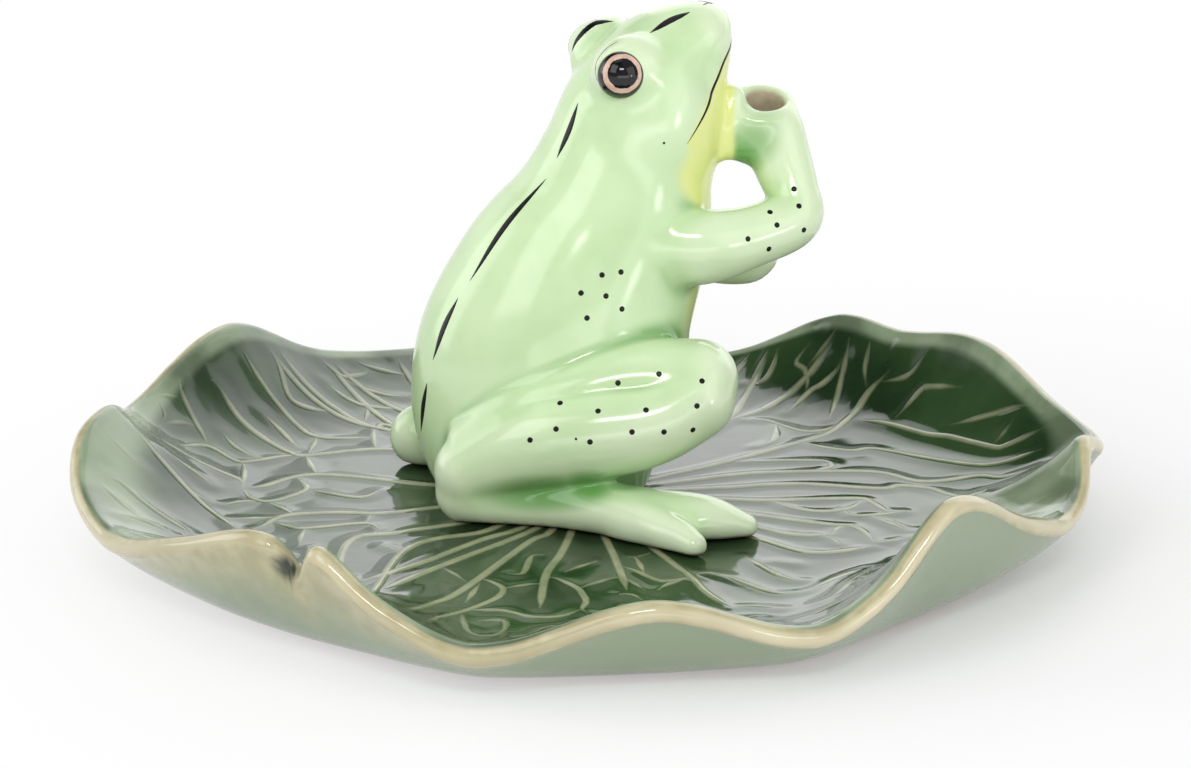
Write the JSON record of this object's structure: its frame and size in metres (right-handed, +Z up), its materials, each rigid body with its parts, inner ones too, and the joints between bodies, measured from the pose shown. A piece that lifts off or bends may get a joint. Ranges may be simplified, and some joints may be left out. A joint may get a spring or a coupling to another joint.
{
  "type": "frog incense holder",
  "caption": "Seated glazed frog that lifts off a ruffled lotus-leaf ash dish, its raised fist a socket for an incense stick.",
  "frame": {"origin": "middle of the dish's flat foot, on the table", "axes": "+Z up, +X the way the frog faces, +Y the frog's left"},
  "size_m": [0.1675, 0.1596, 0.0862],
  "materials": {
    "leaf_glaze": "gloss",
    "frog_glaze": "gloss",
    "eye_glaze": "gloss"
  },
  "bodies": {
    "dish": {"leaf_dish": "leaf_glaze"},
    "frog": {"frog_body": "frog_glaze", "right_haunch": "frog_glaze", "left_haunch": "frog_glaze", "right_foot": "frog_glaze", "left_foot": "frog_glaze", "right_arm": "frog_glaze", "left_arm": "frog_glaze", "right_hand": "frog_glaze", "right_eye": "eye_glaze", "left_eye": "eye_glaze"}
  },
  "joints": [
    {"name": "frog_lift", "type": "slide", "parent": "dish", "child": "frog", "axis": [0, 0, 1], "range_m": [0, 0.06]}
  ]
}
